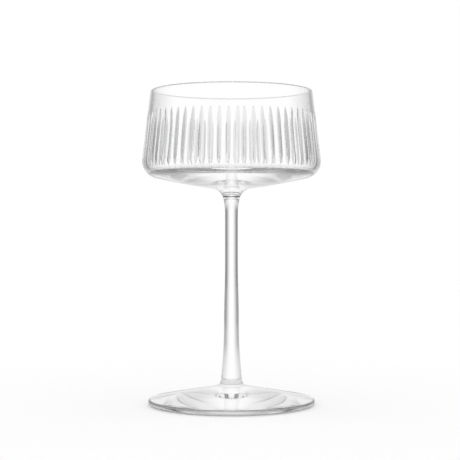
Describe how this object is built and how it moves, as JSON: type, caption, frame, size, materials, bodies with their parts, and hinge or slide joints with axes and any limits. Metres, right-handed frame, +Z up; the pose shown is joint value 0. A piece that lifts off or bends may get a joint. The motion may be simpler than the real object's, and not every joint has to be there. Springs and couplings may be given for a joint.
{
  "type": "coupe glass",
  "caption": "Clear cut-glass coupe for drinks: low wide bowl with upright cuts round its wall, thick flat-floored base, slim solid stem and broad round foot.",
  "frame": {"origin": "on the table, at the middle of the foot's resting ring", "axes": "+Z up along the stem's axis, towards the open rim; -Y faces the viewer of the picture, +X is to the viewer's right"},
  "size_m": [0.0968, 0.0968, 0.17],
  "materials": {
    "glass": "clear, polished"
  },
  "bodies": {
    "root": {"bowl": "glass", "stem": "glass", "foot": "glass"}
  },
  "joints": []
}
